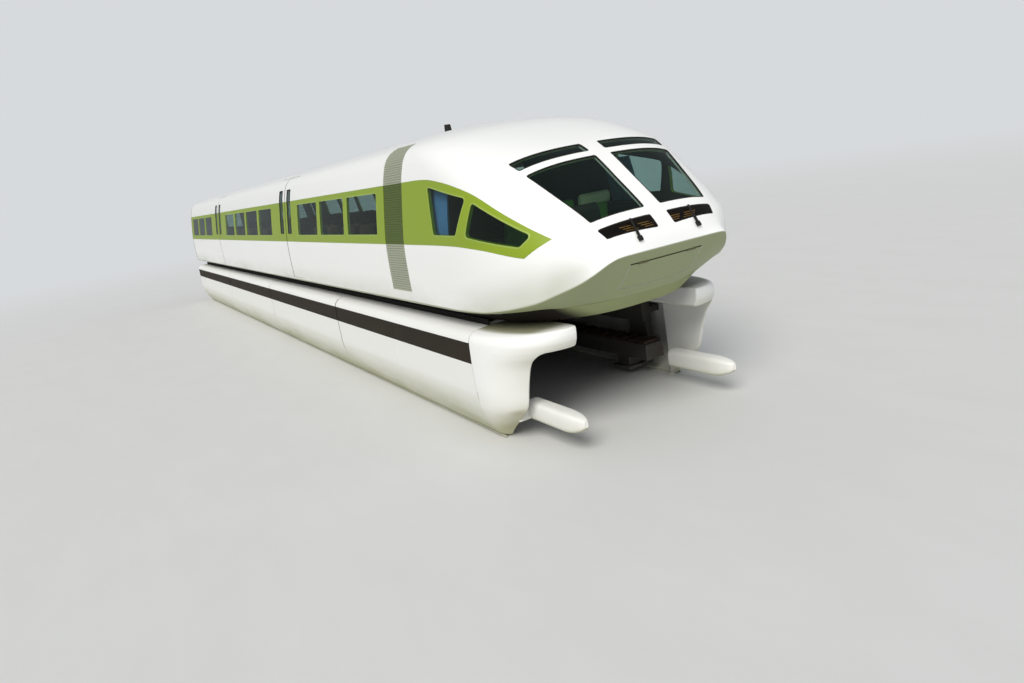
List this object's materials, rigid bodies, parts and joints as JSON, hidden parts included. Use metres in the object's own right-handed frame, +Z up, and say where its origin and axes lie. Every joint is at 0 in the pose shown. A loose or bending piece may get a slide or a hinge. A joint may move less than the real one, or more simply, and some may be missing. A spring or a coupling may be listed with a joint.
{
  "type": "maglev train end car",
  "caption": "Streamlined end car that rides over a guideway on magnets, with a glazed cab, green window band, plug doors and deep white skirts.",
  "frame": {"origin": "on the floor under the middle of the car, at the lowest edge of the skirts", "axes": "+X to the nose, +Y to the left side, +Z up"},
  "size_m": [27.1, 3.7, 4.35],
  "materials": {
    "white_paint": "gloss white paint, lightly weathered",
    "skirt_paint": "white paint with a dark stripe, dusty low down",
    "green_paint": "yellow-green gloss paint",
    "tinted_glass": "green tinted glass",
    "lamp_cover": "dark cover over two lamps",
    "louvre_metal": "fine horizontal louvres, painted",
    "bellows_rubber": "matt black rubberised fabric",
    "underframe_paint": "dull grey paint",
    "chassis_steel": "dark grey structural paint",
    "magnet_casing": "dark cast resin in steel casings",
    "lining": "pale laminate",
    "cab_plastic": "green moulded plastic",
    "seat_fabric": "woven green upholstery",
    "black_plastic": "matt black"
  },
  "bodies": {
    "car": {"band_front_left": "green_paint", "band_front_right": "green_paint", "band_middle_left": "green_paint", "band_middle_right": "green_paint", "band_rear_left": "green_paint", "band_rear_right": "green_paint", "cab_band_left": "green_paint", "cab_band_right": "green_paint", "cab_partition": "lining", "cab_side_glass_left": "tinted_glass", "cab_side_glass_right": "tinted_glass", "door_front_left_aft": "white_paint", "door_front_left_fore": "white_paint", "door_front_right_aft": "white_paint", "door_front_right_fore": "white_paint", "door_rear_left_aft": "white_paint", "door_rear_left_fore": "white_paint", "door_rear_right_aft": "white_paint", "door_rear_right_fore": "white_paint", "drivers_desk": "cab_plastic", "drivers_seats": "seat_fabric", "gangway_bellows": "bellows_rubber", "glass_front_left": "tinted_glass", "glass_front_right": "tinted_glass", "glass_middle_left": "tinted_glass", "glass_middle_right": "tinted_glass", "glass_rear_left": "tinted_glass", "glass_rear_right": "tinted_glass", "lamp_panel_left": "lamp_cover", "lamp_panel_right": "lamp_cover", "levitation_chassis": "chassis_steel", "levitation_magnets_left": "magnet_casing", "levitation_magnets_right": "magnet_casing", "louvre_ring": "louvre_metal", "nose_shell": "white_paint", "passenger_seats_left": "seat_fabric", "passenger_seats_right": "seat_fabric", "rear_bulkhead": "lining", "roof": "white_paint", "roof_antenna": "black_plastic", "side_lower_left": "white_paint", "side_lower_right": "white_paint", "skirt_front_left": "skirt_paint", "skirt_front_right": "skirt_paint", "skirt_left": "skirt_paint", "skirt_right": "skirt_paint", "underframe": "underframe_paint", "windscreen_left": "tinted_glass", "windscreen_right": "tinted_glass"},
    "gangway_door": {"gangway_door": "lining"},
    "nose_flap": {"nose_flap": "white_paint"},
    "lamp_wiper_left": {"lamp_wiper_left": "black_plastic"},
    "lamp_wiper_right": {"lamp_wiper_right": "black_plastic"}
  },
  "joints": [
    {"name": "gangway_door_slide", "type": "slide", "parent": "car", "child": "gangway_door", "axis": [0, 1, 0], "range_m": [0, 0.86]},
    {"name": "nose_flap_hinge", "type": "hinge", "parent": "car", "child": "nose_flap", "pos_m": [13.427, 0, 2.207], "axis": [0, -1, 0], "range_deg": [0, 75]},
    {"name": "lamp_wiper_left_hinge", "type": "hinge", "parent": "car", "child": "lamp_wiper_left", "pos_m": [13.518, 0.445, 2.5], "axis": [0.8387, 0, 0.5446], "range_deg": [-45, 45]},
    {"name": "lamp_wiper_right_hinge", "type": "hinge", "parent": "car", "child": "lamp_wiper_right", "pos_m": [13.518, -0.445, 2.5], "axis": [0.8387, 0, 0.5446], "range_deg": [-45, 45]}
  ]
}
